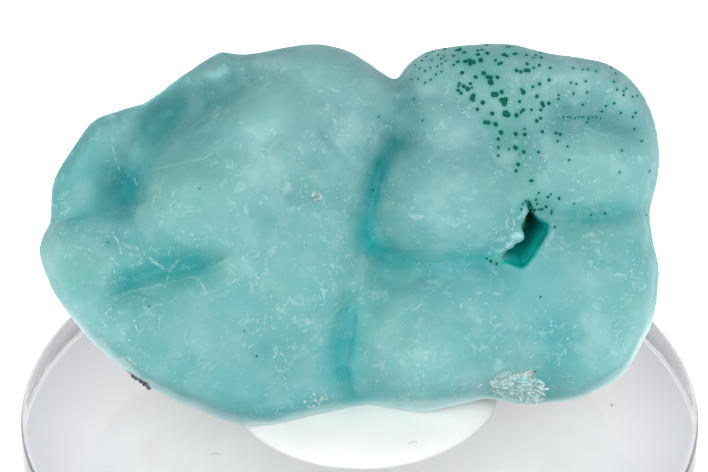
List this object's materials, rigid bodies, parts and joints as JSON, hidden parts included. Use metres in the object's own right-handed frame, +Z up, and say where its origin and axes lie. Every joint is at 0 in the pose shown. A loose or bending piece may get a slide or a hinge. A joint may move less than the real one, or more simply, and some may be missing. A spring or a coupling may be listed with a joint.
{
  "type": "zincolibethenite on smithsonite",
  "caption": "Mineral specimen: a lobed blue-green smithsonite crust with dark green zincolibethenite spherules, leaning on mineral tack on a round clear acrylic base.",
  "frame": {"origin": "centre of the acrylic base's underside, on the surface that it stands on", "axes": "+Z up, -Y towards the viewer, +X to the viewer's right; the stone's crusted face looks towards -Y and leans back"},
  "size_m": [0.0508, 0.0508, 0.031],
  "materials": {
    "clear_acrylic": "polished, clear",
    "mineral_tack": "matt, kneaded by hand",
    "smithsonite": "natural crust, waxy, slightly translucent",
    "zincolibethenite": "natural crystal balls, glassy"
  },
  "bodies": {
    "root": {"acrylic_stand": "clear_acrylic", "mineral_tack": "mineral_tack", "smithsonite": "smithsonite", "zincolibethenite_01": "zincolibethenite", "zincolibethenite_02": "zincolibethenite", "zincolibethenite_03": "zincolibethenite", "zincolibethenite_04": "zincolibethenite", "zincolibethenite_05": "zincolibethenite", "zincolibethenite_06": "zincolibethenite", "zincolibethenite_07": "zincolibethenite", "zincolibethenite_08": "zincolibethenite", "zincolibethenite_09": "zincolibethenite", "zincolibethenite_10": "zincolibethenite", "zincolibethenite_11": "zincolibethenite", "zincolibethenite_12": "zincolibethenite", "zincolibethenite_13": "zincolibethenite", "zincolibethenite_14": "zincolibethenite", "zincolibethenite_15": "zincolibethenite", "zincolibethenite_16": "zincolibethenite", "zincolibethenite_17": "zincolibethenite", "zincolibethenite_18": "zincolibethenite", "zincolibethenite_19": "zincolibethenite", "zincolibethenite_20": "zincolibethenite", "zincolibethenite_21": "zincolibethenite", "zincolibethenite_22": "zincolibethenite", "zincolibethenite_23": "zincolibethenite", "zincolibethenite_24": "zincolibethenite", "zincolibethenite_25": "zincolibethenite", "zincolibethenite_26": "zincolibethenite", "zincolibethenite_27": "zincolibethenite", "zincolibethenite_28": "zincolibethenite", "zincolibethenite_29": "zincolibethenite", "zincolibethenite_30": "zincolibethenite", "zincolibethenite_31": "zincolibethenite", "zincolibethenite_32": "zincolibethenite", "zincolibethenite_33": "zincolibethenite", "zincolibethenite_34": "zincolibethenite", "zincolibethenite_35": "zincolibethenite", "zincolibethenite_36": "zincolibethenite", "zincolibethenite_37": "zincolibethenite", "zincolibethenite_38": "zincolibethenite"}
  },
  "joints": []
}
